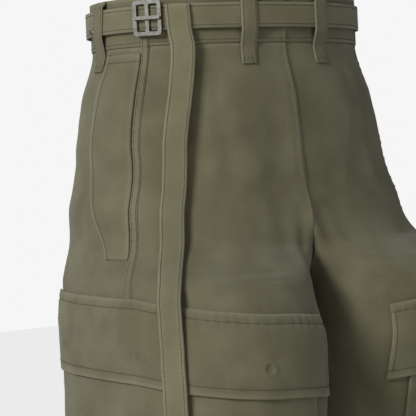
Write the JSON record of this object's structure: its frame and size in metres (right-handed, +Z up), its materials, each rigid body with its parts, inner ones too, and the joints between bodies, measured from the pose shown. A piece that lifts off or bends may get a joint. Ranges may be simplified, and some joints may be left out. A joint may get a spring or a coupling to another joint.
{
  "type": "cargo pants",
  "caption": "Washed olive cotton cargo pants, filled out as worn, with a self-fabric belt and a long hanging tail.",
  "frame": {"origin": "centre of the waist opening, level with the top edge of the waistband", "axes": "+Z up, front at -Y, the wearer's right at -X"},
  "size_m": [0.4072, 0.3234, 1.04],
  "materials": {
    "cloth": "washed cotton twill",
    "belt_cloth": "washed cotton twill",
    "buckle": "gunmetal"
  },
  "bodies": {
    "root": {"front_right": "cloth", "waistband_front_right": "cloth", "back_right": "cloth", "waistband_back_right": "cloth", "outseam_right": "cloth", "hip_flap_right": "cloth", "cargo_pocket_right": "cloth", "cargo_flap_right": "cloth", "loop_front_right": "cloth", "loop_side_right": "cloth", "loop_back_right": "cloth", "front_left": "cloth", "waistband_front_left": "cloth", "back_left": "cloth", "waistband_back_left": "cloth", "outseam_left": "cloth", "hip_flap_left": "cloth", "cargo_pocket_left": "cloth", "cargo_flap_left": "cloth", "loop_front_left": "cloth", "loop_side_left": "cloth", "loop_back_left": "cloth", "loop_centre_back": "cloth", "belt_band": "belt_cloth", "belt_tail": "belt_cloth", "buckle_frame": "buckle", "buckle_prong": "buckle", "belt_rivet": "buckle"}
  },
  "joints": []
}
